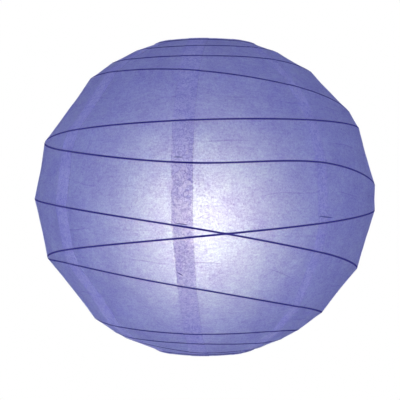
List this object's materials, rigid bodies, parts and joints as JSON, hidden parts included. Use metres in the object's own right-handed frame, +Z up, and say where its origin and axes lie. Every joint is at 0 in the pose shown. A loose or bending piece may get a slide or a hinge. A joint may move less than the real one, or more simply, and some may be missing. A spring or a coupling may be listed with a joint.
{
  "type": "accordion paper lantern",
  "caption": "Round folding paper lantern on a loose wire spiral, opened by a wire frame with a hanging loop and lit by a bulb inside.",
  "frame": {"origin": "the point inside the hanging loop where a hook bears, on the lantern's axis", "axes": "+Z up along the lantern's axis, -Y to the front that the picture shows, +X to its right"},
  "size_m": [0.3049, 0.3037, 0.2785],
  "materials": {
    "blue_paper": "thin translucent tissue, periwinkle blue, matt",
    "galvanised_wire": "bright drawn steel wire",
    "white_moulding": "satin white moulding",
    "contact_brass": "pressed brass strip",
    "plated_cap": "pressed and plated sheet",
    "black_glass": "black vitrified insulator",
    "board_aluminium": "plain sheet",
    "opal_globe": "opal diffuser, lit from inside"
  },
  "bodies": {
    "lantern": {"top_ring": "galvanised_wire", "top_hem": "blue_paper", "rib_wire": "galvanised_wire", "paper_gore_1": "blue_paper", "paper_gore_2": "blue_paper", "paper_gore_3": "blue_paper", "paper_gore_4": "blue_paper", "paper_gore_5": "blue_paper", "paper_gore_6": "blue_paper", "paper_gore_7": "blue_paper", "paper_gore_8": "blue_paper", "leg_left": "galvanised_wire", "leg_right": "galvanised_wire", "hanging_loop": "galvanised_wire", "lamp_carrier": "galvanised_wire", "cord_grip": "white_moulding", "holder_cap": "white_moulding", "contact_block": "white_moulding", "holder_contact": "contact_brass", "screw_shell": "contact_brass", "holder_body": "white_moulding", "shade_ring": "white_moulding", "bulb_contact": "plated_cap", "bulb_insulator": "black_glass", "bulb_cap": "plated_cap", "bulb_collar": "white_moulding", "led_board": "board_aluminium", "bulb_globe": "opal_globe"},
    "lower_rim": {"bottom_ring": "galvanised_wire", "bottom_hem": "blue_paper"}
  },
  "joints": [
    {"name": "collapse", "type": "slide", "parent": "lantern", "child": "lower_rim", "axis": [0, 0, 1], "range_m": [0, 0.256], "deforming": ["rib_wire", "paper_gore_1", "paper_gore_2", "paper_gore_3", "paper_gore_4", "paper_gore_5", "paper_gore_6", "paper_gore_7", "paper_gore_8"]}
  ]
}
